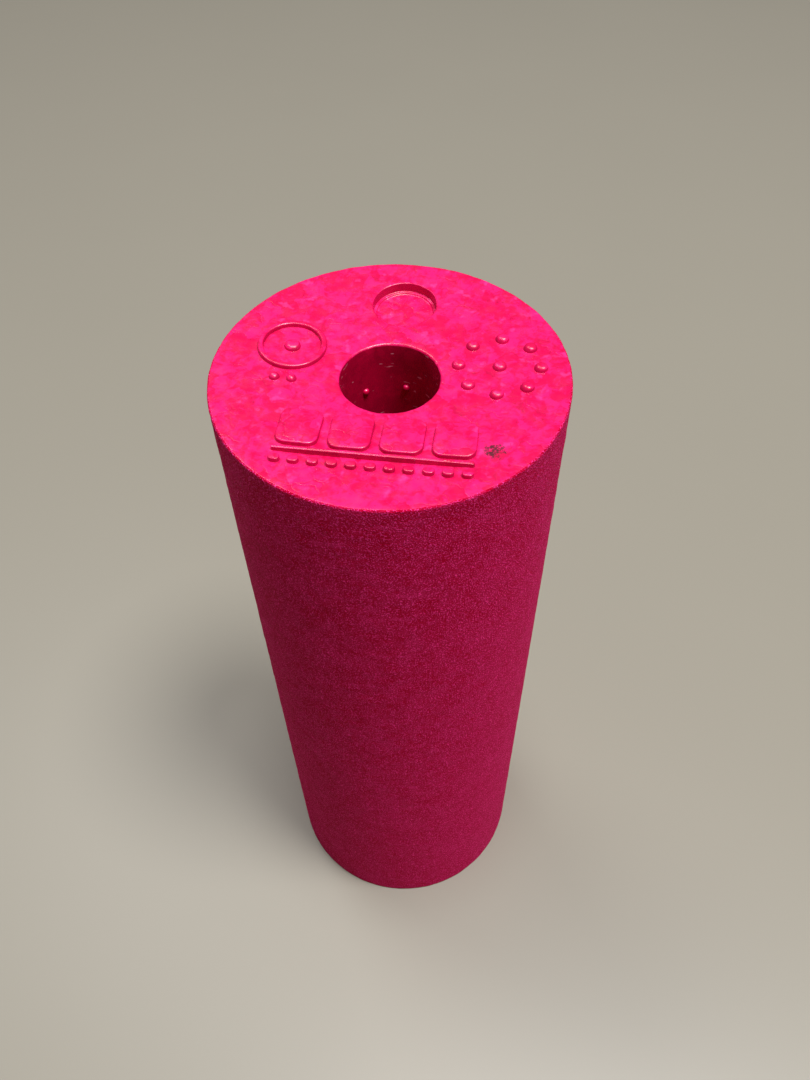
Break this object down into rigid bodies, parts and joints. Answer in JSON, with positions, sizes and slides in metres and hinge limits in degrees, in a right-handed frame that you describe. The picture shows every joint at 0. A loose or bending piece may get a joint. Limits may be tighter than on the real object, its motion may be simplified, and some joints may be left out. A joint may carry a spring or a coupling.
{
  "type": "foam roller",
  "caption": "Small one-piece cylindrical massage roller of moulded bead foam, with a through bore and raised marks on one end.",
  "frame": {"origin": "middle of the plain end's face, on the surface that the roller stands on", "axes": "+Z along the roller's axis, towards the marked end; +X along the raised rib, with the row of dashes on the -Y side and the round recess on the +Y side"},
  "size_m": [0.054, 0.054, 0.1506],
  "materials": {
    "bead_foam": "pink moulded bead foam, matt and finely grained on the side, smoother and semi-gloss on the ends"
  },
  "bodies": {
    "root": {"roller_body": "bead_foam"}
  },
  "joints": []
}
